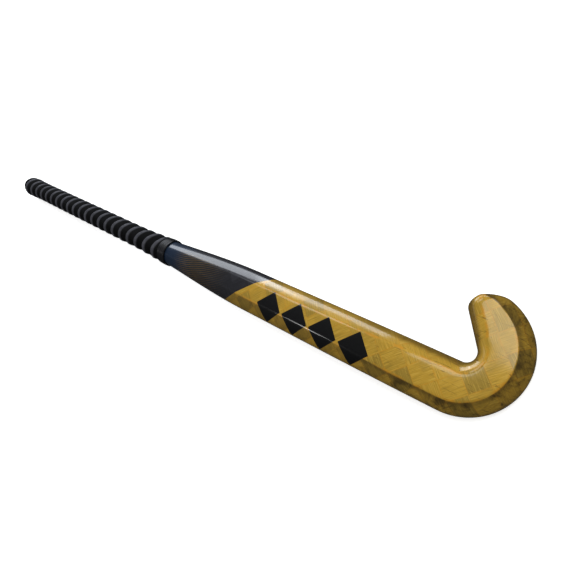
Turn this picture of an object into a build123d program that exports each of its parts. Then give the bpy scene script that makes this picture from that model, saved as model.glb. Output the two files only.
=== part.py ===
from build123d import *
import math
import os
from dataclasses import dataclass

# A composite field hockey stick that lies on its playing face. While it is built, +X runs
# from the butt to the hook, +Y is the side that the toe points to and +Z goes from the
# playing face to the back. Millimetres.

# Whole stick
LENGTH = 927.0           # butt to the outside of the hook, the common 36.5 inch size
BLADE_WIDTH = 47.5       # where the taper ends
HEAD_WIDTH = 49.6        # at the hook; it passes a 51 mm ring, the limit in the game's rules
BLADE_DEPTH = 20.5       # playing face to the flat of the back
HANDLE_WIDTH = 25.5      # bare handle, under the grip
HANDLE_DEPTH = 24.6
TAPER = (376.0, 620.0)   # the handle swells into the blade between these stations
WIDENING = (600.0, 860.0)
BUTT_FLARE = 2.8         # extra width at the butt, gone by FLARE_END
FLARE_END = 65.0

# Bow: the playing face arches along the stick and is flat in the head
BOW = 24.0               # the rules allow 25
BOW_PEAK = 687.0         # station of the highest point
HEAD_FLAT = 832.0        # the face is flat from here to the end
BUTT_LIFT = 3.9          # so that the grip and the end of the head rest on one plane
FACE_TRUE = 845.0        # the face is ground to an exact plane from here on
GRIND_TILT = 0.003       # of that plane against the moulded face

# Hook: a half circle outside, a tight crook inside, and a leg that leans back
HOOK_RADIUS = 60.0
CROOK_RADIUS = 9.5
CROOK_X = 870.0
CROOK_TURN = 126.0       # degrees from the shaft's line to the leg's
LEG_LENGTH = 47.2
TIP_LENGTH = 10.0        # end of the leg over which the tip rounds off
TIP_ROUND = 13.0         # how far each edge comes in over the tip

# Cross-section
WIDEST = 8.0             # height of the widest line over the playing face
FACE_ROUND = 6.0         # flat face to the side
SHAFT_BEVEL = 14.0       # width of each bevel of the back, between these two stations
HEAD_BEVEL = 11.8
BEVEL_CHANGE = (740.0, 840.0)
BEVEL_SLOPE = 29.0       # degrees at the crease
BEVEL_STRAIGHT = 0.47    # the share of a bevel that keeps that slope
BEVEL_GROWTH = 0.75      # how much a bevel widens as its section grows by 1
CROWN = 2.5              # degrees of the flat's slope at the crease
HANDLE_BEVEL = 0.56      # the handle is an oval: shares of its half width, and degrees
HANDLE_CORNER = 0.66
HANDLE_SLOPE = 30.0
CREASING = (340.0, 560.0)    # the oval's back turns into the creased one

# Along the leg the inner crease fades into a wider edge, and both creases end before the tip
EDGE_EXTRA = 3.5
INNER_FADE = (0.0, 0.3)
OUTER_FADE = (0.55, 0.9)
TIP_RISE = 5.0           # the face comes up over the tip, and the back comes down
TIP_FALL = 7.5

# Layers, from outside to inside
SKIN = 0.7
LAMINATE = 2.0
TUBE_WALL = 0.9
FACE_PLY = 1.2
TUBE_END = 800.0         # the two handle tubes stop here, and the head core begins

# Butt and grip
CAP_END = 5.0            # thickness of the cap's end
BUTT_ROUND = 7.0         # rounding of the butt's rim
CAP_SKIRT = 16.0         # station where the skirt stops
PLUG_LENGTH = 36.0
UNDERLAY = 1.0
WRAP = 1.1
WRAP_START = 1.5
WRAP_END = 456.0
TAPE = 0.3               # over the wrap; it builds up to TAPE_STEP on the bare shaft
TAPE_STEP = 1.3
TAPE_START = 449.0
TAPE_END = 463.0

PAST = 80.0              # a cutting block reaches this far past the stick
BROAD = 400.0            # and it is this broad

HOOK_X = LENGTH - HOOK_RADIUS
HOOK_Y = HOOK_RADIUS - HEAD_WIDTH / 2
CROOK_Y = HEAD_WIDTH / 2 + CROOK_RADIUS


# Where the lofts have their sections: stations, and degrees round the butt's rim, the crook and
# the tip
SHAFT_STATIONS = (25, 50, 80, 140, 220, 300, 360, 400, 440, 480, 520, 560, 600, 640, 680, 730, 790, 832, 855)
RIM_ANGLES = (15, 35, 55, 75, 90)
CROOK_STEP = 18
LEG_STEPS = 5
TIP_ANGLES = (18, 36, 54, 68, 80)


@dataclass
class Section:
    """One upright cut: its two edges in plan, its heights over the face, and its bevels."""
    inner: tuple
    outer: tuple
    low: float
    high: float
    widest: float
    corner: float
    bevels: tuple
    slopes: tuple
    crown: float


def ease(x, start, end):
    """0 before start, 1 after end, and a smooth S between them."""
    t = min(1.0, max(0.0, (x - start) / (end - start)))
    return t * t * (3 - 2 * t)


def mix(a, b, t):
    return a + (b - a) * t


def face_height(x):
    """Height of the playing face at station x: an arch, then a straight slope in the head."""
    lift = BUTT_LIFT * (1 - x / LENGTH)
    if x <= BOW_PEAK:
        return lift + BOW * (1 - (1 - x / BOW_PEAK) ** 2)
    bend = HEAD_FLAT - BOW_PEAK
    k = BOW / (bend**2 + 2 * bend * (LENGTH - HEAD_FLAT))
    past = min(x, HEAD_FLAT) - BOW_PEAK
    return lift + BOW - k * past**2 - 2 * k * bend * max(0.0, x - HEAD_FLAT)


def shaft_section(s, offset):
    """A cut square to the shaft at station s. offset grows the section outwards."""
    blade = ease(s, *TAPER)
    flare = BUTT_FLARE * (1 - ease(s, 0, FLARE_END))
    wide = mix(BLADE_WIDTH, HEAD_WIDTH, ease(s, *WIDENING))
    half = mix(HANDLE_WIDTH, wide, blade) / 2 + flare / 2
    depth = mix(HANDLE_DEPTH, BLADE_DEPTH, blade) + flare
    crease = ease(s, *CREASING)
    blade_bevel = mix(SHAFT_BEVEL, HEAD_BEVEL, ease(s, *BEVEL_CHANGE))
    bevel = mix(HANDLE_BEVEL * half, blade_bevel, blade) + BEVEL_GROWTH * offset
    slope = mix(HANDLE_SLOPE, BEVEL_SLOPE, crease)
    return Section(
        inner=(s, half + offset),
        outer=(s, -half - offset),
        low=-offset - flare / 2,
        high=depth - flare / 2 + offset,
        widest=mix(HANDLE_DEPTH / 2, WIDEST, blade),
        corner=mix(HANDLE_CORNER * half, FACE_ROUND, blade),
        bevels=(bevel, bevel),
        slopes=(slope, slope),
        crown=mix(HANDLE_SLOPE, CROWN, crease),
    )


def head_section(inner, outer, offset, on_leg, tip):
    """A cut across the hook. on_leg runs 0 to 1 from the crook to the tip, tip over its end."""
    lift = 1 - math.cos(tip)
    soft = ease(on_leg, *INNER_FADE)
    bevel = HEAD_BEVEL + BEVEL_GROWTH * offset
    width = math.dist(inner, outer)
    room = min(1.0, width / (2.1 * (HEAD_BEVEL + EDGE_EXTRA)))
    inner_slope = mix(BEVEL_SLOPE, CROWN, soft)
    outer_slope = mix(BEVEL_SLOPE, CROWN, ease(on_leg, *OUTER_FADE))
    return Section(
        inner=inner,
        outer=outer,
        low=-offset + TIP_RISE * lift,
        high=BLADE_DEPTH + offset - TIP_FALL * lift,
        widest=WIDEST,
        corner=min(FACE_ROUND, 0.4 * width),
        bevels=((bevel + EDGE_EXTRA * soft) * room, bevel * room),
        slopes=(mix(inner_slope, HANDLE_SLOPE, lift), mix(outer_slope, HANDLE_SLOPE, lift)),
        crown=mix(CROWN, HANDLE_SLOPE, lift),
    )


def to_hook(start, direction, offset):
    """Distance from start along direction to the hook's outside circle."""
    dx = start[0] - HOOK_X
    dy = start[1] - HOOK_Y
    b = dx * direction[0] + dy * direction[1]
    c = dx * dx + dy * dy - (HOOK_RADIUS + offset) ** 2
    return -b + math.sqrt(b * b - c)


def crook_section(turn, offset):
    """A cut that fans round the crook, turn degrees from the shaft's end."""
    a = math.radians(turn)
    ray = (math.sin(a), -math.cos(a))
    centre = (CROOK_X, CROOK_Y)
    near = CROOK_RADIUS - offset
    far = to_hook(centre, ray, offset)
    inner = (centre[0] + near * ray[0], centre[1] + near * ray[1])
    outer = (centre[0] + far * ray[0], centre[1] + far * ray[1])
    return head_section(inner, outer, offset, 0.0, 0.0)


def leg_section(along, offset, tip=0.0):
    """A cut square to the leg, along it from the crook. tip is the angle round its end."""
    a = math.radians(CROOK_TURN)
    ray = (math.sin(a), -math.cos(a))
    run = (math.cos(a), math.sin(a))
    near = CROOK_RADIUS - offset
    pull = TIP_ROUND * (1 - math.cos(tip))
    start = (CROOK_X + near * ray[0] + along * run[0], CROOK_Y + near * ray[1] + along * run[1])
    width = to_hook(start, ray, offset)
    inner = (start[0] + pull * ray[0], start[1] + pull * ray[1])
    outer = (start[0] + (width - pull) * ray[0], start[1] + (width - pull) * ray[1])
    return head_section(inner, outer, offset, along / LEG_LENGTH, tip)


def profile(section):
    """The closed outline of a section as six curves, in its own upright plane."""
    half = math.dist(section.inner, section.outer) / 2
    low, high, widest = section.low, section.high, section.widest
    flat = half - section.corner
    curves = [((-flat, low), (-flat / 3, low), (flat / 3, low), (flat, low))]
    sides = []
    for bevel, slope in zip(section.bevels, section.slopes):
        g = math.radians(slope)
        crease = half - bevel
        reach = BEVEL_STRAIGHT * bevel / math.cos(g)
        corner = ((flat, low), (mix(flat, half, 0.6), low), (half, mix(low, widest, 0.4)), (half, widest))
        side = (
            (half, widest),
            (half, mix(widest, high, 0.5)),
            (crease + reach * math.cos(g), high - reach * math.sin(g)),
            (crease, high),
        )
        sides.append((corner, side, crease))
    (corner_in, side_in, crease_in), (corner_out, side_out, crease_out) = sides
    k = math.radians(section.crown)
    third = (crease_in + crease_out) / 3
    rise = third * math.tan(k)
    top = (
        (crease_in, high),
        (crease_in - third, high + rise),
        (-crease_out + third, high + rise),
        (-crease_out, high),
    )
    mirrored = [tuple((-t, h) for t, h in reversed(c)) for c in (side_out, corner_out)]
    return curves + [corner_in, side_in, top] + mirrored


def wire(section):
    """The section's outline in space. Heights are measured from the bowed playing face."""
    width = math.dist(section.inner, section.outer)
    middle = [(a + b) / 2 for a, b in zip(section.inner, section.outer)]
    across = [(a - b) / width for a, b in zip(section.inner, section.outer)]
    edges = []
    for points in profile(section):
        placed = []
        for t, h in points:
            x = middle[0] + t * across[0]
            placed.append((x, middle[1] + t * across[1], face_height(x) + h))
        edges.append(Edge.make_bezier(*placed))
    return Wire(edges)


def loft(sections, ruled=False):
    return Solid.make_loft([wire(section) for section in sections], ruled)


def cover(end, offset):
    """The handle from its rounded butt to a station, grown by offset."""
    rim = []
    for degrees in RIM_ANGLES:
        turn = math.radians(degrees)
        pulled = BUTT_ROUND * (1 - math.sin(turn))
        rim.append(shaft_section(BUTT_ROUND * (1 - math.cos(turn)), offset - pulled))
    inside = [s for s in SHAFT_STATIONS if s < end - 4]
    rest = [shaft_section(s, offset) for s in (BUTT_ROUND, *inside, end)]
    return loft(rim, ruled=True) + loft(rest)


def whole(start, offset):
    """The stick from a station near the butt round to the tip, grown by offset."""
    sections = [shaft_section(s, offset) for s in (start, *SHAFT_STATIONS)]
    sections += [crook_section(turn, offset) for turn in range(0, int(CROOK_TURN), CROOK_STEP)]
    leg = LEG_LENGTH + offset
    straight = leg - TIP_LENGTH
    sections += [leg_section(straight * i / LEG_STEPS, offset) for i in range(LEG_STEPS + 1)]
    for degrees in TIP_ANGLES:
        tip = math.radians(degrees)
        sections.append(leg_section(straight + TIP_LENGTH * math.sin(tip), offset, tip))
    return loft(sections)


def slab(start, end):
    """Everything between two stations."""
    block = Box(end - start, BROAD, 2 * PAST, align=(Align.MIN, Align.CENTER, Align.CENTER))
    return block.moved(Location((start, 0, 0)))


def under_face(lift):
    """Everything under the ground plane of the head's playing face, raised by lift."""
    slope = (face_height(FACE_TRUE) - face_height(LENGTH)) / (LENGTH - FACE_TRUE) - GRIND_TILT
    block = Box(BROAD, BROAD, PAST, align=(Align.CENTER, Align.CENTER, Align.MAX))
    tilt = Rotation(0, math.degrees(math.atan(slope)), 0)
    ground = Location((FACE_TRUE, 0, face_height(FACE_TRUE) + lift)) * tilt * block
    return ground & slab(FACE_TRUE - 20, LENGTH + PAST)


def ellipse_tube(start, end, side, wall):
    """The foam inside one handle tube: an oval bar beside the middle of the stick."""
    depth_in = SKIN + LAMINATE
    sections = []
    for s in (start, *[s for s in SHAFT_STATIONS if start + 4 < s < end - 4], end):
        cut = shaft_section(s, -depth_in)
        blade = ease(s, *TAPER)
        half = cut.inner[1]
        depth = cut.high - cut.low
        middle = cut.low + mix(0.5, 0.45, blade) * depth
        plane = Plane((s, side * half / 2, face_height(s) + middle), x_dir=(0, 1, 0), z_dir=(1, 0, 0))
        oval = Edge.make_ellipse(half / 2 - wall, mix(0.4, 0.35, blade) * depth, plane)
        sections.append(Wire([oval]))
    return Solid.make_loft(sections)


def make_parts():
    """Every piece of the stick, by name."""
    body = whole(CAP_END, 0)
    body_in = whole(CAP_END, -SKIN)
    cavity = whole(CAP_END, -SKIN - LAMINATE)
    parts = {}
    parts["outer_skin"] = body - body_in - under_face(0)
    parts["carbon_laminate"] = body_in - cavity

    plug_end = CAP_END + PLUG_LENGTH
    parts["butt_plug"] = cavity & slab(0, plug_end)
    handle_bore = cavity & slab(plug_end, TUBE_END)
    for name, side in (("toe_side", 1), ("heel_side", -1)):
        half = handle_bore & slab(0, LENGTH).moved(Location((0, side * BROAD / 2, 0)))
        foam = ellipse_tube(plug_end, TUBE_END, side, TUBE_WALL)
        parts[name + "_tube"] = half - foam
        parts[name + "_foam"] = foam
    head_bore = cavity & slab(TUBE_END, LENGTH + PAST)
    ply = under_face(SKIN + LAMINATE + FACE_PLY)
    parts["head_face_ply"] = head_bore & ply
    parts["head_core"] = head_bore - ply

    padded = cover(WRAP_END, UNDERLAY)
    wrapped = cover(WRAP_END, UNDERLAY + WRAP) & slab(WRAP_START, WRAP_END)
    tape = loft([shaft_section(s, offset) for s, offset in tape_steps()], ruled=True)
    parts["butt_cap"] = (padded & slab(0, CAP_SKIRT)) - body
    parts["grip_underlay"] = (padded & slab(CAP_SKIRT, WRAP_END)) - body
    parts["grip_wrap"] = wrapped - padded
    parts["finishing_tape"] = tape - wrapped - body
    return parts


def tape_steps():
    """The finishing tape lies on the wrap, steps down its end, and holds on the bare shaft."""
    wrapped = UNDERLAY + WRAP + TAPE
    return ((TAPE_START, wrapped), (WRAP_END, wrapped), (TAPE_END - 3, TAPE_STEP), (TAPE_END, TAPE_STEP))


def main():
    os.makedirs("parts", exist_ok=True)
    parts = make_parts()
    box = Compound(list(parts.values())).bounding_box()
    home = Location((-box.center().X, -box.center().Y, -box.min.Z))
    for name, shape in parts.items():
        export_step(shape.moved(home), f"parts/{name}.step")


main()
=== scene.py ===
import math
from dataclasses import dataclass

import bmesh
import bpy
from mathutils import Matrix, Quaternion, Vector


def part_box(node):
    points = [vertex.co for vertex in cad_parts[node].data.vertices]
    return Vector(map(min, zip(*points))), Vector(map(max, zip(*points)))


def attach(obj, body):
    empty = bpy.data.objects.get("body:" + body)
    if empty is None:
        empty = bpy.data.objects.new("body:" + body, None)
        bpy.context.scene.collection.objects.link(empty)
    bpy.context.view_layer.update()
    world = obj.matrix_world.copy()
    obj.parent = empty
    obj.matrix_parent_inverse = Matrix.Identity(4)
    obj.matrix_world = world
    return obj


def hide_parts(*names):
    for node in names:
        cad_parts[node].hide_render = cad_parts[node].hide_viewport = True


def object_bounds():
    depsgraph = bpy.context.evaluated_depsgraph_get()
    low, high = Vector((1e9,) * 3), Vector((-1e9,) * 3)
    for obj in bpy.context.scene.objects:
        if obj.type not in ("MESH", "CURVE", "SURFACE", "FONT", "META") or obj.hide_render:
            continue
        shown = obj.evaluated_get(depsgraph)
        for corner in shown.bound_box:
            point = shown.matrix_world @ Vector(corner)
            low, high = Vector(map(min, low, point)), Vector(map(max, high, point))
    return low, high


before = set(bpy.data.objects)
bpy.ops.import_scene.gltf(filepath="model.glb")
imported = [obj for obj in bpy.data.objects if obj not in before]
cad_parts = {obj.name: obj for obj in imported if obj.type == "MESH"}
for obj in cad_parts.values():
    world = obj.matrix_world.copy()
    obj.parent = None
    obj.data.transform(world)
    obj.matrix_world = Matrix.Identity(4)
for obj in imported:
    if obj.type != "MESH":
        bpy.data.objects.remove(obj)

CAD_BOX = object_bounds()
MM = 0.001

# The stick's driving sizes in millimetres and degrees, the same as in the CAD. Stations are
# measured from the butt along +X, +Y is the toe side and heights are over the playing face.
LENGTH = 927.0
BLADE_WIDTH = 47.5
HEAD_WIDTH = 49.6
BLADE_DEPTH = 20.5
HANDLE_WIDTH = 25.5
HANDLE_DEPTH = 24.6
TAPER = (376.0, 620.0)
WIDENING = (600.0, 860.0)
BUTT_FLARE = 2.8
FLARE_END = 65.0
BOW = 24.0
BOW_PEAK = 687.0
HEAD_FLAT = 832.0
BUTT_LIFT = 3.9
HOOK_RADIUS = 60.0
CROOK_RADIUS = 9.5
CROOK_X = 870.0
CROOK_TURN = 126.0
LEG_LENGTH = 47.2
TIP_LENGTH = 10.0
TIP_ROUND = 13.0
WIDEST = 8.0
FACE_ROUND = 6.0
SHAFT_BEVEL = 14.0
HEAD_BEVEL = 11.8
BEVEL_CHANGE = (740.0, 840.0)
BEVEL_SLOPE = 29.0
BEVEL_STRAIGHT = 0.47
BEVEL_GROWTH = 0.75
CROWN = 2.5
HANDLE_BEVEL = 0.56
HANDLE_CORNER = 0.66
HANDLE_SLOPE = 30.0
CREASING = (340.0, 560.0)
EDGE_EXTRA = 3.5
INNER_FADE = (0.0, 0.3)
OUTER_FADE = (0.55, 0.9)
TIP_RISE = 5.0
TIP_FALL = 7.5
CAP_END = 5.0
BUTT_ROUND = 7.0
UNDERLAY = 1.0
WRAP_START = 1.5
WRAP_END = 456.0
TAPE_START = 449.0
TAPE_END = 463.0
HOOK_X = LENGTH - HOOK_RADIUS
HOOK_Y = HOOK_RADIUS - HEAD_WIDTH / 2
CROOK_Y = HEAD_WIDTH / 2 + CROOK_RADIUS

# Mesh of the skin: steps over half the playing face, its rounded corner, a bevel, a crease and
# half the crown, and then the spacing of its rings from the butt to the tip
CREASE_RADIUS = 1.5      # the creases of the back are slightly rounded
FACE_STEPS = 5
CORNER_STEPS = 6
BEVEL_STEPS = 10
ROUNDING_STEPS = 4
CROWN_STEPS = 5
HANDLE_SPACING = 6.0
BLADE_SPACING = 4.0
SPACING_CHANGE = 440.0
CROOK_SPACING = 3.0      # degrees
LEG_STEPS = 18
TIP_SPACING = 8          # degrees
TIP_LAST = 88

# Grip tape, wound with a rib
RIB_PITCH = 21.2         # one turn
RIB_HIGH = 1.7           # its crest and its groove over the underlay
RIB_LOW = 0.32
RIB_SHARE = 0.44         # the share of a turn that its bead takes
RIB_RISE = 0.12          # how far the flat stretch rises towards the crest's height
RIB_DROP = 0.97          # the share of a turn where it falls back
RIB_PRESSED = 0.45       # the height of the pressed ends, from groove to crest
FREE_START = 12.0        # the rib is whole between these stations
FREE_END = 443.0
# The bead's polished share also carries its painted sheen, a paler charcoal painted on the crest.
POLISH_AND_SHEEN_START = (0.05, 0.14)  # shares of a turn where the polish of the bead begins and ends
POLISH_AND_SHEEN_END = (0.32, 0.43)
GRIP_STEPS = 430         # mesh steps along its outside, and along its inner face
LINING_STEPS = 37
LINING_GAP = 0.02        # between the inner face and the underlay

# Finishing tape
BAND_TURN = 3.5          # width of one turn
BAND_TOPS = (2.35, 2.45, 2.35, 2.05)     # the turns' heights over the bare handle
BAND_LINING = 1.9        # its inner face over the grip, and over the bare handle
BAND_GAP = 0.04


def ease(x, start, end):
    """0 before start, 1 after end, and a smooth S between them."""
    t = min(1.0, max(0.0, (x - start) / (end - start)))
    return t * t * (3 - 2 * t)


def mix(a, b, t):
    return a + (b - a) * t


# The outer form, as in the CAD

@dataclass
class Section:
    """One upright cut: its two edges in plan, its heights over the face, and its bevels."""
    inner: tuple
    outer: tuple
    low: float
    high: float
    widest: float
    corner: float
    bevels: tuple
    slopes: tuple
    crown: float


def face_height(x):
    """Height of the playing face at station x: an arch, then a straight slope in the head."""
    lift = BUTT_LIFT * (1 - x / LENGTH)
    if x <= BOW_PEAK:
        return lift + BOW * (1 - (1 - x / BOW_PEAK) ** 2)
    bend = HEAD_FLAT - BOW_PEAK
    k = BOW / (bend**2 + 2 * bend * (LENGTH - HEAD_FLAT))
    past = min(x, HEAD_FLAT) - BOW_PEAK
    return lift + BOW - k * past**2 - 2 * k * bend * max(0.0, x - HEAD_FLAT)


def shaft_section(s, offset):
    """A cut square to the shaft at station s. offset grows the section outwards."""
    blade = ease(s, *TAPER)
    flare = BUTT_FLARE * (1 - ease(s, 0, FLARE_END))
    wide = mix(BLADE_WIDTH, HEAD_WIDTH, ease(s, *WIDENING))
    half = mix(HANDLE_WIDTH, wide, blade) / 2 + flare / 2
    depth = mix(HANDLE_DEPTH, BLADE_DEPTH, blade) + flare
    crease = ease(s, *CREASING)
    blade_bevel = mix(SHAFT_BEVEL, HEAD_BEVEL, ease(s, *BEVEL_CHANGE))
    bevel = mix(HANDLE_BEVEL * half, blade_bevel, blade) + BEVEL_GROWTH * offset
    slope = mix(HANDLE_SLOPE, BEVEL_SLOPE, crease)
    return Section(
        inner=(s, half + offset),
        outer=(s, -half - offset),
        low=-offset - flare / 2,
        high=depth - flare / 2 + offset,
        widest=mix(HANDLE_DEPTH / 2, WIDEST, blade),
        corner=mix(HANDLE_CORNER * half, FACE_ROUND, blade),
        bevels=(bevel, bevel),
        slopes=(slope, slope),
        crown=mix(HANDLE_SLOPE, CROWN, crease),
    )


def head_section(inner, outer, on_leg, tip):
    """A cut across the hook. on_leg runs 0 to 1 from the crook to the tip, tip over its end."""
    lift = 1 - math.cos(tip)
    soft = ease(on_leg, *INNER_FADE)
    width = math.dist(inner, outer)
    room = min(1.0, width / (2.1 * (HEAD_BEVEL + EDGE_EXTRA)))
    inner_slope = mix(BEVEL_SLOPE, CROWN, soft)
    outer_slope = mix(BEVEL_SLOPE, CROWN, ease(on_leg, *OUTER_FADE))
    return Section(
        inner=inner,
        outer=outer,
        low=TIP_RISE * lift,
        high=BLADE_DEPTH - TIP_FALL * lift,
        widest=WIDEST,
        corner=min(FACE_ROUND, 0.4 * width),
        bevels=((HEAD_BEVEL + EDGE_EXTRA * soft) * room, HEAD_BEVEL * room),
        slopes=(mix(inner_slope, HANDLE_SLOPE, lift), mix(outer_slope, HANDLE_SLOPE, lift)),
        crown=mix(CROWN, HANDLE_SLOPE, lift),
    )


def to_hook(start, direction):
    """Distance from start along direction to the hook's outside circle."""
    dx = start[0] - HOOK_X
    dy = start[1] - HOOK_Y
    b = dx * direction[0] + dy * direction[1]
    c = dx * dx + dy * dy - HOOK_RADIUS**2
    return -b + math.sqrt(b * b - c)


def crook_section(turn):
    """A cut that fans round the crook, turn degrees from the shaft's end."""
    a = math.radians(turn)
    ray = (math.sin(a), -math.cos(a))
    centre = (CROOK_X, CROOK_Y)
    far = to_hook(centre, ray)
    inner = (centre[0] + CROOK_RADIUS * ray[0], centre[1] + CROOK_RADIUS * ray[1])
    outer = (centre[0] + far * ray[0], centre[1] + far * ray[1])
    return head_section(inner, outer, 0.0, 0.0)


def leg_section(along, tip=0.0):
    """A cut square to the leg, along it from the crook. tip is the angle round its end."""
    a = math.radians(CROOK_TURN)
    ray = (math.sin(a), -math.cos(a))
    run = (math.cos(a), math.sin(a))
    pull = TIP_ROUND * (1 - math.cos(tip))
    x = CROOK_X + CROOK_RADIUS * ray[0] + along * run[0]
    y = CROOK_Y + CROOK_RADIUS * ray[1] + along * run[1]
    width = to_hook((x, y), ray)
    inner = (x + pull * ray[0], y + pull * ray[1])
    outer = (x + (width - pull) * ray[0], y + (width - pull) * ray[1])
    return head_section(inner, outer, along / LEG_LENGTH, tip)


# Smooth meshes from the sections

def bezier(points, t):
    """A point of a Bezier curve of any degree."""
    while len(points) > 1:
        points = [tuple(mix(a, b, t) for a, b in zip(p, q)) for p, q in zip(points, points[1:])]
    return points[0]


def sampled(points, count, start=0.0, end=1.0):
    return [bezier(points, mix(start, end, i / count)) for i in range(count + 1)]


def half_outline(section, side):
    """Points from the face's middle to the widest line, and from there to the back's middle."""
    half = math.dist(section.inner, section.outer) / 2
    low, high, widest = section.low, section.high, section.widest
    flat = half - section.corner
    creases = [half - bevel for bevel in section.bevels]
    crease = creases[side]
    g = math.radians(section.slopes[side])
    reach = BEVEL_STRAIGHT * section.bevels[side] / math.cos(g)
    corner = (
        (flat, low),
        (mix(flat, half, 0.6), low),
        (half, mix(low, widest, 0.4)),
        (half, widest),
    )
    bevel = (
        (half, widest),
        (half, mix(widest, high, 0.5)),
        (crease + reach * math.cos(g), high - reach * math.sin(g)),
        (crease, high),
    )
    third = sum(creases) / 3
    rise = third * math.tan(math.radians(section.crown))
    top = (
        (crease, high),
        (crease - third, high + rise),
        (crease - 2 * third, high + rise),
        (crease - 3 * third, high),
    )
    lower = sampled(((0.0, low), (flat, low)), FACE_STEPS)[:-1] + sampled(corner, CORNER_STEPS)
    near = min(0.3, CREASE_RADIUS / max(section.bevels[side], 0.1))
    beyond = min(0.2, CREASE_RADIUS / max(3 * third, 0.1))
    rounding = (bezier(bevel, 1 - near), (crease, high), bezier(top, beyond))
    upper = sampled(bevel, BEVEL_STEPS, 0.0, 1 - near)[:-1]
    upper += sampled(rounding, ROUNDING_STEPS)
    upper += sampled(top, CROWN_STEPS, beyond, 0.5)[1:]
    return lower, upper


def lengths(points):
    """The distance of each point along the line from the first."""
    total = [0.0]
    for p, q in zip(points, points[1:]):
        total.append(total[-1] + math.dist(p, q))
    return total


@dataclass
class Ring:
    """Points round a section in millimetres, with how far round the back from its middle each
    lies, its place on the flattened cloth, and how far it is past the crease."""
    points: list
    around: list
    cloth: list
    past_crease: list


def ring(section):
    width = math.dist(section.inner, section.outer)
    middle = [(a + b) / 2 for a, b in zip(section.inner, section.outer)]
    across = [(a - b) / width for a, b in zip(section.inner, section.outer)]
    made = Ring([], [], [], [])
    for side, sign in ((0, 1), (1, -1)):
        lower, upper = half_outline(section, side)
        up = lengths(upper)
        down = lengths(lower)
        turn = [up[-1] * d / down[-1] for d in down] + [up[-1] - u for u in up[1:]]
        outline = lower + upper[1:]
        placed = [(sign * t, h, sign * v) for (t, h), v in zip(outline, turn)]
        placed = placed[:-1] if sign > 0 else placed[:0:-1]
        to_crease = up[-1] - up[BEVEL_STEPS + ROUNDING_STEPS // 2]
        for t, h, v in placed:
            x = middle[0] + t * across[0]
            made.points.append(Vector((x, middle[1] + t * across[1], face_height(x) + h)))
            made.around.append(v)
            made.cloth.append(Vector((middle[0] + v * across[0], middle[1] + v * across[1], 0)))
            made.past_crease.append(abs(v) - to_crease)
    return made


def to_frame(point):
    """From the stick's own millimetres to the row frame in metres."""
    return point * MM + SHIFT


def skin_rings():
    """(place along the stick, ring) from the butt to the tip."""
    rings = []
    s = CAP_END
    while s < CROOK_X:
        rings.append((s, ring(shaft_section(s, 0))))
        s += HANDLE_SPACING if s < SPACING_CHANGE else BLADE_SPACING
    along = CROOK_X
    for i in range(int(CROOK_TURN / CROOK_SPACING)):
        rings.append((along, ring(crook_section(i * CROOK_SPACING))))
        along += math.radians(CROOK_SPACING) * (CROOK_RADIUS + HEAD_WIDTH / 2)
    straight = LEG_LENGTH - TIP_LENGTH
    for i in range(LEG_STEPS):
        reach = straight * i / LEG_STEPS
        rings.append((along + reach, ring(leg_section(reach))))
    for degrees in range(0, TIP_LAST + 1, TIP_SPACING):
        tip = math.radians(degrees)
        reach = straight + TIP_LENGTH * math.sin(tip)
        rings.append((along + reach, ring(leg_section(reach, tip))))
    return rings


def build_tube(name, loops, capped):
    """A closed quad mesh through loops of points. It is capped at both ends, or joined up."""
    mesh = bpy.data.meshes.new(name)
    bm = bmesh.new()
    rows = [[bm.verts.new(to_frame(p)) for p in loop] for loop in loops]
    pairs = list(zip(rows, rows[1:]))
    if not capped:
        pairs.append((rows[-1], rows[0]))
    for row, after in pairs:
        for i in range(len(row)):
            j = (i + 1) % len(row)
            bm.faces.new((row[i], row[j], after[j], after[i]))
    if capped:
        for row in (rows[0], rows[-1]):
            hub = bm.verts.new(sum((v.co for v in row), Vector()) / len(row))
            for i in range(len(row)):
                bm.faces.new((row[i], row[(i + 1) % len(row)], hub))
    bmesh.ops.recalc_face_normals(bm, faces=bm.faces)
    for face in bm.faces:
        face.smooth = True
    bm.to_mesh(mesh)
    bm.free()
    piece = bpy.data.objects.new(name, mesh)
    bpy.context.scene.collection.objects.link(piece)
    return piece


def add_attribute(piece, name, values, kind="FLOAT"):
    """A value for each vertex. Vertices past the last value, the hubs of caps, repeat it."""
    layer = piece.data.attributes.new(name, kind, "POINT")
    for i, item in enumerate(layer.data):
        value = values[min(i, len(values) - 1)]
        if kind == "FLOAT":
            item.value = value
        else:
            item.vector = value


def make_skin():
    rings = skin_rings()
    piece = build_tube("stick_skin", [made.points for _, made in rings], capped=True)
    add_attribute(piece, "along", [along * MM for along, made in rings for _ in made.points])
    add_attribute(piece, "around", [v * MM for _, made in rings for v in made.around])
    add_attribute(piece, "past_crease", [v * MM for _, made in rings for v in made.past_crease])
    add_attribute(piece, "cloth", [v * MM for _, made in rings for v in made.cloth], "FLOAT_VECTOR")
    return piece


def rib_height(phase):
    """The tape's profile over one turn: a round bead, then a flat stretch that rises a little."""
    phase %= 1.0
    if phase < RIB_SHARE:
        return 0.5 - 0.5 * math.cos(2 * math.pi * phase / RIB_SHARE)
    return RIB_RISE * ease(phase, RIB_SHARE, RIB_DROP) * (1 - ease(phase, RIB_DROP, 1.0))


def polish_and_painted_sheen(phase):
    """1 on the bead's polished crest, which also gets a painted sheen, and 0 on the rest of a turn."""
    phase %= 1.0
    return ease(phase, *POLISH_AND_SHEEN_START) * (1 - ease(phase, *POLISH_AND_SHEEN_END))


def butt_pull(s):
    """How far the rounded butt draws a section in."""
    if s >= BUTT_ROUND:
        return 0.0
    return BUTT_ROUND - math.sqrt(BUTT_ROUND**2 - (BUTT_ROUND - s) ** 2)


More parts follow.
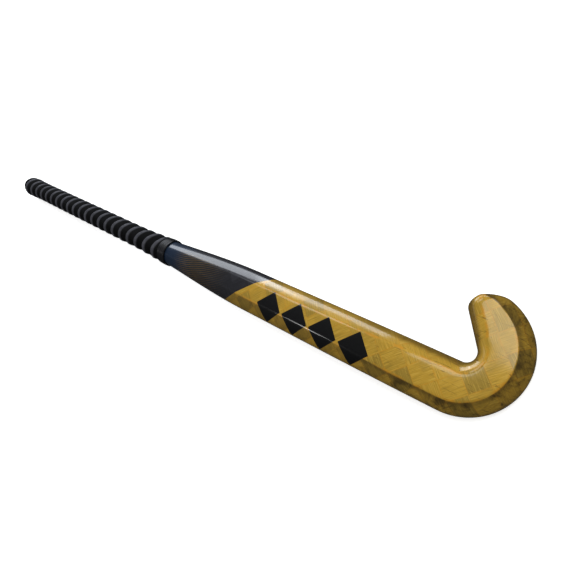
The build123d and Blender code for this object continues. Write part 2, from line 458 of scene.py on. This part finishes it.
def make_grip():
    """The grip tape: a sleeve with a helical rib that is pressed flat at both ends."""
    loops, crests = [], []
    for i in range(GRIP_STEPS + 1):
        s = mix(WRAP_START, WRAP_END, i / GRIP_STEPS)
        pull = butt_pull(s)
        low = ring(shaft_section(s, UNDERLAY + RIB_LOW - pull)).points
        high = ring(shaft_section(s, UNDERLAY + RIB_HIGH - pull)).points
        turns = [s / RIB_PITCH + k / len(low) for k in range(len(low))]
        free = ease(s, WRAP_START, FREE_START) * (1 - ease(s, FREE_END, TAPE_START))
        heights = [mix(RIB_PRESSED, rib_height(t), free) for t in turns]
        loops.append([a.lerp(b, height) for a, b, height in zip(low, high, heights)])
        # The crest mask gives the beads their lower roughness and their painted sheen.
        crests += [free * polish_and_painted_sheen(t) for t in turns]
    lining = [mix(WRAP_END, BUTT_ROUND, i / LINING_STEPS) for i in range(LINING_STEPS + 1)]
    for s in (*lining, WRAP_START):
        inner = ring(shaft_section(s, UNDERLAY + LINING_GAP - butt_pull(s))).points
        loops.append(inner)
        crests += [0.0] * len(inner)
    piece = build_tube("grip_tape", loops, capped=False)
    add_attribute(piece, "crest", crests)
    return piece


def make_band():
    """The finishing tape: several tight turns over the end of the grip, with a soft rolled edge."""
    profile = [(TAPE_START, BAND_LINING + 0.1)]
    for turn, top in enumerate(BAND_TOPS):
        start = TAPE_START + BAND_TURN * turn
        profile += [(start + 0.25, top - 0.15), (start + 0.6, top)]
        profile += [(start + 3.1, top - 0.1), (start + 3.4, top - 0.3)]
    profile += [(TAPE_END - 0.1, 1.5), (TAPE_END, 1.0), (TAPE_END, BAND_GAP)]
    profile += [(WRAP_END + 0.2, BAND_GAP), (WRAP_END - 0.1, BAND_LINING), (TAPE_START, BAND_LINING)]
    loops = [ring(shaft_section(s, offset)).points for s, offset in profile]
    return build_tube("finishing_band", loops, capped=False)


# Materials

class Graph:
    """Short names for building a material's nodes."""

    def __init__(self, name):
        self.material = bpy.data.materials.new(name)
        self.material.use_nodes = True
        self.tree = self.material.node_tree
        self.shader = self.tree.nodes["Principled BSDF"]

    def put(self, socket, value):
        if isinstance(value, bpy.types.NodeSocket):
            self.tree.links.new(value, socket)
        elif socket.type == "RGBA":
            socket.default_value = (*value, 1.0)
        else:
            socket.default_value = value

    def attribute(self, name, output="Fac"):
        node = self.tree.nodes.new("ShaderNodeAttribute")
        node.attribute_name = name
        return node.outputs[output]

    def place(self):
        return self.tree.nodes.new("ShaderNodeTexCoord").outputs["Object"]

    def math(self, operation, *values):
        node = self.tree.nodes.new("ShaderNodeMath")
        node.operation = operation
        for socket, value in zip(node.inputs, values):
            self.put(socket, value)
        return node.outputs[0]

    def both(self, *masks):
        """The product of masks and strengths."""
        result = masks[0]
        for mask in masks[1:]:
            result = self.math("MULTIPLY", result, mask)
        return result

    def mapping(self, vector, turn=0.0, scale=(1.0, 1.0, 1.0)):
        node = self.tree.nodes.new("ShaderNodeMapping")
        self.put(node.inputs["Vector"], vector)
        node.inputs["Rotation"].default_value = (0.0, 0.0, math.radians(turn))
        node.inputs["Scale"].default_value = scale
        return node.outputs[0]

    def split(self, vector):
        node = self.tree.nodes.new("ShaderNodeSeparateXYZ")
        self.put(node.inputs[0], vector)
        return node.outputs

    def noise(self, vector, scale, detail=2.0, roughness=0.5, distortion=0.0):
        node = self.tree.nodes.new("ShaderNodeTexNoise")
        self.put(node.inputs["Vector"], vector)
        node.inputs["Scale"].default_value = scale
        node.inputs["Detail"].default_value = detail
        node.inputs["Roughness"].default_value = roughness
        node.inputs["Distortion"].default_value = distortion
        return node.outputs["Fac"]

    def step(self, value, start, end):
        """0 before start and 1 after end, or the other way round when end is the smaller."""
        node = self.tree.nodes.new("ShaderNodeMapRange")
        node.interpolation_type = "SMOOTHSTEP"
        self.put(node.inputs["Value"], value)
        node.inputs["From Min"].default_value = min(start, end)
        node.inputs["From Max"].default_value = max(start, end)
        node.inputs["To Min"].default_value = 0.0 if start < end else 1.0
        node.inputs["To Max"].default_value = 1.0 if start < end else 0.0
        return node.outputs["Result"]

    def scale(self, value, low, high):
        """0 to 1 becomes low to high."""
        return self.math("MULTIPLY_ADD", value, high - low, low)

    def blend(self, factor, a, b):
        node = self.tree.nodes.new("ShaderNodeMix")
        node.data_type = "RGBA"
        self.put(node.inputs["Factor"], factor)
        self.put(node.inputs[6], a)
        self.put(node.inputs[7], b)
        return node.outputs[2]

    def bump(self, height, strength, distance):
        node = self.tree.nodes.new("ShaderNodeBump")
        node.inputs["Strength"].default_value = strength
        node.inputs["Distance"].default_value = distance
        self.put(node.inputs["Height"], height)
        self.put(self.shader.inputs["Normal"], node.outputs["Normal"])

    def finish(self, color, roughness, **constants):
        self.put(self.shader.inputs["Base Color"], color)
        self.put(self.shader.inputs["Roughness"], roughness)
        for name, value in constants.items():
            self.shader.inputs[name.replace("_", " ")].default_value = value
        return self.material


GOLD = (0.52, 0.30, 0.028)
GOLD_PALE = (0.62, 0.40, 0.065)
GOLD_OLIVE = (0.28, 0.18, 0.024)
AMBER = (0.58, 0.26, 0.014)
UMBER = (0.045, 0.026, 0.005)
CHARCOAL = (0.015, 0.015, 0.019)
CHARCOAL_PALE = (0.036, 0.036, 0.046)
NAVY = (0.009, 0.021, 0.048)
BLACK = (0.0028, 0.0028, 0.0034)

TOW = 0.021              # width of one spread tow, in metres
GOLD_START = 0.616       # station of the gold's edge on the middle of the back
SLANT = 1.14             # how far that edge moves along for each step round


def tow_squares(g, cloth):
    """The spread-tow cloth at 45 degrees: a checker of fibre directions, the fibres' streaks,
    the seams between tows and a tone for each square."""
    turned = g.mapping(cloth, turn=45.0)
    u, v, _ = g.split(turned)
    cells = [g.math("FLOOR", g.math("DIVIDE", c, TOW)) for c in (u, v)]
    parity = g.math("MODULO", g.math("ABSOLUTE", g.math("ADD", *cells)), 2.0)
    lengthways = g.noise(g.mapping(turned, scale=(50.0, 1300.0, 1.0)), 1.0, 4.0, 0.65)
    crossways = g.noise(g.mapping(turned, scale=(1300.0, 50.0, 1.0)), 1.0, 4.0, 0.65)
    others = g.math("SUBTRACT", 1.0, parity)
    streak = g.math("ADD", g.both(parity, lengthways), g.both(others, crossways))
    wander = g.scale(g.noise(cloth, 90.0, 2.0), -0.05, 0.05)
    seams = []
    for c in (u, v):
        inside = g.math("PINGPONG", g.math("ADD", g.math("DIVIDE", c, TOW), wander), 0.5)
        seams.append(g.step(inside, 0.05, 0.0))
    cell = g.tree.nodes.new("ShaderNodeCombineXYZ")
    for socket, value in zip(cell.inputs, cells):
        g.put(socket, value)
    tone = g.tree.nodes.new("ShaderNodeTexWhiteNoise")
    g.put(tone.inputs["Vector"], cell.outputs[0])
    return parity, streak, g.math("MAXIMUM", *seams), tone.outputs["Value"]


def gold_cloth(g, cloth, squares, on_bevel, is_heel, past_crease, along):
    """Gold-tinted fibres with an amber line along the creases, partly edge wear and partly a painted
    highlight; in the head, scuffs, a stained heel-side bevel and a darker band beside its crease; and
    painted shade over the whole heel-side bevel and towards the outer edge of the toe-side bevel,
    strongest in the head.
    """
    parity, streak, seam, tone = squares
    squares_tone = g.both(g.scale(parity, 0.25, 1.0), g.step(tone, 0.1, 0.9), 0.8)
    gold = g.blend(squares_tone, GOLD, GOLD_OLIVE)
    gold = g.blend(g.both(g.step(streak, 0.48, 0.68), 0.75), gold, GOLD_PALE)
    gold = g.blend(g.both(g.step(streak, 0.50, 0.32), 0.75), gold, GOLD_OLIVE)
    gold = g.blend(g.both(seam, g.noise(cloth, 300.0, 2.0), 0.8), gold, AMBER)
    blotch = g.noise(cloth, 34.0, 4.0, 0.6, 0.5)
    gold = g.blend(g.both(g.step(blotch, 0.45, 0.65), 0.35), gold, GOLD_OLIVE)

    # An amber line along the creases, partly edge wear and partly a painted highlight.
    near_crease = g.step(g.math("ABSOLUTE", past_crease), 0.0022, 0.0004)
    ridge = g.both(near_crease, g.step(g.noise(cloth, 120.0, 3.0), 0.40, 0.62), 0.7)
    gold = g.blend(ridge, gold, AMBER)

    in_head = g.step(along, 0.74, 0.86)
    # Noise that breaks up the stain, the darker band beside the heel crease and the painted shade at
    # the toe bevel's far edge.
    wear_and_shade_noise = g.noise(cloth, 75.0, 6.0, 0.72, 0.8)
    stain = g.both(g.step(wear_and_shade_noise, 0.44, 0.70), on_bevel, is_heel, g.scale(in_head, 0.3, 0.9))
    gold = g.blend(stain, gold, UMBER)
    # Painted shade: the whole heel-side bevel, which faces away from the lamps, is darkened towards
    # umber.
    gold = g.blend(g.both(on_bevel, is_heel, g.scale(parity, 0.3, 0.45)), gold, UMBER)
    beside_crease = g.both(g.step(past_crease, 0.0065, 0.0015), on_bevel, is_heel, in_head)
    gold = g.blend(g.both(beside_crease, g.scale(wear_and_shade_noise, 0.1, 0.9)), gold, UMBER)
    is_toe = g.math("SUBTRACT", 1.0, is_heel)
    # Painted shade towards the outer edge of the toe-side bevel, strongest in the head and broken up by
    # noise.
    far_edge_shade = g.both(g.step(past_crease, 0.0045, 0.0115), is_toe, g.scale(in_head, 0.35, 0.8))
    gold = g.blend(g.both(far_edge_shade, g.scale(wear_and_shade_noise, 0.35, 1.25)), gold, UMBER)
    stroke = g.noise(g.mapping(cloth, turn=62.0, scale=(45.0, 520.0, 1.0)), 1.0, 5.0, 0.7, 0.7)
    scuff = g.both(g.step(stroke, 0.595, 0.66), in_head, 0.65)
    return g.blend(scuff, gold, UMBER)


def dark_cloth(g, squares, along, around):
    """Charcoal fibres that turn navy towards the grip, with the fine gold print."""
    parity, streak, _, tone = squares
    dark = g.blend(g.both(parity, g.step(tone, 0.0, 1.0), 0.5), CHARCOAL, CHARCOAL_PALE)
    dark = g.blend(g.both(g.step(streak, 0.45, 0.7), 0.5), dark, CHARCOAL_PALE)
    dark = g.blend(g.step(along, 0.53, 0.475), dark, NAVY)
    return g.blend(printed_rings(g, along, around), dark, GOLD)


def printed_rings(g, along, around):
    """Fine gold rings, printed round a point beside the upper shaft, that fade at both ends."""
    station, beside, squeeze, pitch = 0.475, 0.050, 1.7, 0.0040
    x = g.math("SUBTRACT", along, station)
    y = g.math("MULTIPLY", g.math("SUBTRACT", around, beside), squeeze)
    far = g.math("SQRT", g.math("ADD", g.both(x, x), g.both(y, y)))
    wave = g.math("PINGPONG", g.math("DIVIDE", far, pitch), 0.5)
    lengthways = g.both(g.step(along, 0.478, 0.505), g.step(along, 0.595, 0.515))
    crossways = g.step(around, 0.012, 0.009)
    return g.both(g.step(wave, 0.10, 0.04), lengthways, crossways, 0.4)


def lozenges(g, along, around):
    """A row of four black lozenges across the middle and the heel-side bevel."""
    first, pitch, count = 0.6600, 0.0385, 4
    offset, half_length, half_height = 0.0080, 0.0180, 0.0185
    x = g.math("SUBTRACT", along, first)
    index = g.math("ROUND", g.math("DIVIDE", x, pitch))
    index = g.math("MINIMUM", g.math("MAXIMUM", index, 0.0), count - 1.0)
    across = g.math("ABSOLUTE", g.math("MULTIPLY_ADD", index, -pitch, x))
    up = g.math("ABSOLUTE", g.math("ADD", around, offset))
    size = g.math("ADD", g.math("DIVIDE", across, half_length), g.math("DIVIDE", up, half_height))
    return g.step(size, 1.008, 0.992)


def skin_material():
    """Lacquered spread-tow cloth: gold in the blade and the head, charcoal to navy above."""
    g = Graph("lacquered_cloth")
    along = g.attribute("along")
    around = g.attribute("around")
    past_crease = g.attribute("past_crease")
    cloth = g.attribute("cloth", "Vector")
    squares = tow_squares(g, cloth)
    on_bevel = g.step(past_crease, -0.0002, 0.0012)
    is_heel = g.step(around, 0.002, -0.002)

    gold = gold_cloth(g, cloth, squares, on_bevel, is_heel, past_crease, along)
    dark = dark_cloth(g, squares, along, around)
    start = g.math("MULTIPLY_ADD", around, SLANT, GOLD_START)
    is_gold = g.step(g.math("SUBTRACT", along, start), -0.0003, 0.0003)
    color = g.blend(lozenges(g, along, around), g.blend(is_gold, dark, gold), BLACK)
    _, streak, seam, _ = squares
    g.bump(g.math("ADD", streak, seam), 0.2, 0.0001)
    roughness = g.scale(streak, 0.30, 0.50)
    return g.finish(
        color, roughness, Metallic=0.2, Specular_IOR_Level=0.2,
        Coat_Weight=1.0, Coat_Roughness=0.1, Coat_IOR=1.5,
    )


def grip_material():
    """Black polyurethane with a fine grain: matt in the grooves, polished on the beads, with a paler
    charcoal painted on the beads' crests as a painted sheen.
    """
    g = Graph("grip_polyurethane")
    place = g.place()
    grain = g.noise(place, 900.0, 4.0, 0.6)
    mottle = g.noise(place, 60.0, 3.0, 0.5)
    color = g.blend(g.step(mottle, 0.35, 0.7), (0.0008, 0.0008, 0.0010), (0.0022, 0.0022, 0.0027))
    crest = g.attribute("crest")
    # Painted sheen: the beads' crests get a paler charcoal in their colour, a highlight painted in that
    # shows from every side.
    color = g.blend(g.both(crest, g.scale(mottle, 0.3, 1.0)), color, (0.095, 0.095, 0.115))
    roughness = g.math("ADD", g.scale(crest, 0.92, 0.30), g.scale(grain, -0.08, 0.08))
    g.bump(grain, 0.2, 0.0002)
    return g.finish(color, roughness, Specular_IOR_Level=0.15)


def rubber_material():
    """The butt cap's moulded rubber, dusty in places."""
    g = Graph("black_rubber")
    place = g.place()
    grain = g.noise(place, 1400.0, 3.0, 0.6)
    dust = g.noise(place, 90.0, 4.0, 0.6)
    color = g.blend(g.step(dust, 0.4, 0.75), (0.004, 0.004, 0.0045), (0.012, 0.012, 0.013))
    g.bump(grain, 0.25, 0.00015)
    return g.finish(color, g.scale(dust, 0.45, 0.7), Specular_IOR_Level=0.3)


def tape_material():
    """Stretched vinyl tape: fine lines where each turn ends."""
    g = Graph("black_tape")
    place = g.place()
    x, _, _ = g.split(place)
    turns = g.math("PINGPONG", g.math("DIVIDE", x, 0.0042), 0.5)
    stretch = g.noise(g.mapping(place, scale=(2200.0, 120.0, 120.0)), 1.0, 3.0, 0.5)
    color = g.blend(g.step(turns, 0.06, 0.0), (0.006, 0.006, 0.008), (0.02, 0.02, 0.026))
    g.bump(g.math("ADD", stretch, g.step(turns, 0.0, 0.08)), 0.3, 0.0002)
    return g.finish(color, g.scale(stretch, 0.28, 0.45), Specular_IOR_Level=0.4)


def cloth_material(name, pale, dark, tow):
    """Woven fibre in resin, for the layers inside."""
    g = Graph(name)
    turned = g.mapping(g.place(), turn=45.0)
    u, v, _ = g.split(turned)
    cells = [g.math("FLOOR", g.math("DIVIDE", c, tow)) for c in (u, v)]
    parity = g.math("MODULO", g.math("ABSOLUTE", g.math("ADD", *cells)), 2.0)
    fibre = g.noise(g.mapping(turned, scale=(60.0, 1500.0, 60.0)), 1.0, 2.0)
    color = g.blend(g.both(parity, fibre), dark, pale)
    g.bump(fibre, 0.2, 0.0002)
    return g.finish(color, g.scale(fibre, 0.35, 0.6))


def foam_material(name, pale, dark):
    """Closed-cell foam, for the cores inside."""
    g = Graph(name)
    cells = g.tree.nodes.new("ShaderNodeTexVoronoi")
    g.put(cells.inputs["Vector"], g.place())
    cells.inputs["Scale"].default_value = 900.0
    shade = cells.outputs["Distance"]
    color = g.blend(g.step(shade, 0.1, 0.6), dark, pale)
    g.bump(shade, 0.5, 0.0004)
    return g.finish(color, g.scale(shade, 0.7, 0.95))


def paint(piece, material):
    piece.data.materials.clear()
    piece.data.materials.append(material)


def dress_inside():
    """Materials for the CAD nodes that stay: the cap, and the layers inside."""
    carbon = cloth_material("carbon_cloth", (0.05, 0.05, 0.055), (0.012, 0.012, 0.013), 0.003)
    aramid = cloth_material("aramid_cloth", (0.72, 0.52, 0.12), (0.42, 0.28, 0.05), 0.002)
    tube_foam = foam_material("tube_foam", (0.74, 0.68, 0.52), (0.50, 0.44, 0.30))
    core_foam = foam_material("core_foam", (0.70, 0.60, 0.38), (0.46, 0.37, 0.20))
    grey_foam = foam_material("grey_foam", (0.15, 0.15, 0.16), (0.05, 0.05, 0.055))
    finishes = {
        "butt_cap": rubber_material(),
        "butt_plug": grey_foam,
        "grip_underlay": grey_foam,
        "carbon_laminate": carbon,
        "toe_side_tube": carbon,
        "heel_side_tube": carbon,
        "toe_side_foam": tube_foam,
        "heel_side_foam": tube_foam,
        "head_core": core_foam,
        "head_face_ply": aramid,
    }
    for name, material in finishes.items():
        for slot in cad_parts[name].material_slots:
            slot.material = material


# Stage

def make_floor():
    """A plain white sheet that reaches the horizon of the view."""
    bm = bmesh.new()
    bmesh.ops.create_grid(bm, x_segments=24, y_segments=24, size=12.0)
    mesh = bpy.data.meshes.new("floor")
    bm.to_mesh(mesh)
    bm.free()
    floor = bpy.data.objects.new("floor", mesh)
    floor.location = (0.0, 0.0, CAD_BOX[0].z - 0.0002)
    bpy.context.scene.collection.objects.link(floor)
    g = Graph("floor_paper")
    paper = g.noise(g.place(), 3.0, 2.0)
    color = g.blend(paper, (0.90, 0.90, 0.90), (0.93, 0.93, 0.93))
    paint(floor, g.finish(color, 0.9, Specular_IOR_Level=0.0, Emission_Strength=0.6))
    g.shader.inputs["Emission Color"].default_value = (1.0, 1.0, 1.0, 1.0)
    floor.visible_glossy = False
    floor.visible_diffuse = False


def make_softbox(name, place, target, size, power, color=(1.0, 1.0, 1.0), tilt=0.0):
    data = bpy.data.lights.new(name, "AREA")
    data.shape = "RECTANGLE"
    data.size, data.size_y = size
    data.energy = power
    data.color = color
    light = bpy.data.objects.new(name, data)
    light.location = place
    aim = (Vector(target) - Vector(place)).to_track_quat("-Z", "Y")
    light.rotation_mode = "QUATERNION"
    light.rotation_quaternion = aim @ Quaternion((0.0, 0.0, 1.0), math.radians(tilt))
    light.visible_camera = False
    bpy.context.scene.collection.objects.link(light)


def make_lights():
    """Panels low beyond the toe side for the bevel to mirror, and lamps above the stick."""
    middle = (0.0, 0.0, 0.03)
    cold, cool, warm = (0.88, 0.93, 1.0), (0.9, 0.95, 1.0), (0.97, 1.0, 0.92)
    make_softbox("low_panel", (-1.57, 1.085, 0.73), middle, (1.15, 0.5), 8, cold)
    make_softbox("toe_panel", (-0.75, 1.47, 0.78), (0.3, 0.0, 0.03), (0.9, 0.42), 6, cool, tilt=-17)
    make_softbox("far_strip", (-2.0, 0.1, 1.15), middle, (2.4, 0.3), 2, (0.9, 0.94, 1.0))
    make_softbox("grip_lamp", (-0.60, 0.50, 1.20), (-0.25, 0.0, 0.03), (0.7, 0.5), 3, (0.92, 0.95, 1.0))
    make_softbox("key", (0.68, 0.63, 1.35), (0.68, 0.62, 0.0), (1.1, 1.1), 11, warm)
    make_softbox("glint", (-0.81, -0.95, 1.42), (0.33, -0.04, 0.02), (0.4, 0.25), 2.5)


def make_world():
    """White for the camera, soft light for the colours, and dark for what the gloss mirrors."""
    soft, mirrored = 0.42, 0.04
    world = bpy.data.worlds.new("studio")
    world.use_nodes = True
    tree = world.node_tree
    paths = tree.nodes.new("ShaderNodeLightPath")
    strength = tree.nodes.new("ShaderNodeMix")
    strength.data_type = "FLOAT"
    strength.inputs[2].default_value = soft
    strength.inputs[3].default_value = mirrored
    brightest = tree.nodes.new("ShaderNodeMath")
    brightest.operation = "MAXIMUM"
    tree.links.new(paths.outputs["Is Glossy Ray"], strength.inputs[0])
    tree.links.new(strength.outputs[0], brightest.inputs[0])
    tree.links.new(paths.outputs["Is Camera Ray"], brightest.inputs[1])
    tree.links.new(brightest.outputs[0], tree.nodes["Background"].inputs["Strength"])
    tree.nodes["Background"].inputs["Color"].default_value = (1.0, 1.0, 1.0, 1.0)
    bpy.context.scene.world = world


def make_camera():
    """The stick seen from beyond the hook, the camera rolled so that the butt is at the left."""
    look = Vector((-0.63855, 0.02470, -0.76918))
    roll = Quaternion((0.0, 0.0, 1.0), math.radians(-63.06))
    data = bpy.data.cameras.new("camera")
    data.lens = 37.62
    data.clip_start, data.clip_end = 0.01, 50.0
    camera = bpy.data.objects.new("camera", data)
    camera.rotation_mode = "QUATERNION"
    camera.location = (0.6148, -0.0282, 0.5389)
    camera.rotation_quaternion = look.to_track_quat("-Z", "Y") @ roll
    bpy.context.scene.collection.objects.link(camera)
    bpy.context.scene.camera = camera
    bpy.context.scene.view_settings.view_transform = "Standard"


# The stick's own millimetres are placed in the frame by the skin's box and the cap's middle.
SKIN_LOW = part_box("outer_skin")[0]
CAP_LOW, CAP_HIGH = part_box("butt_cap")
LOWEST = min(point.z for _, made in skin_rings() for point in made.points)
SHIFT = Vector((SKIN_LOW.x - CAP_END * MM, (CAP_LOW.y + CAP_HIGH.y) / 2, SKIN_LOW.z - LOWEST * MM))

skin = make_skin()
paint(skin, skin_material())
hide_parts("outer_skin")
grip = make_grip()
paint(grip, grip_material())
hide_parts("grip_wrap")
band = make_band()
paint(band, tape_material())
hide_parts("finishing_tape")
for piece in (skin, grip, band):
    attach(piece, "root")
dress_inside()

make_floor()
make_world()
make_lights()
make_camera()
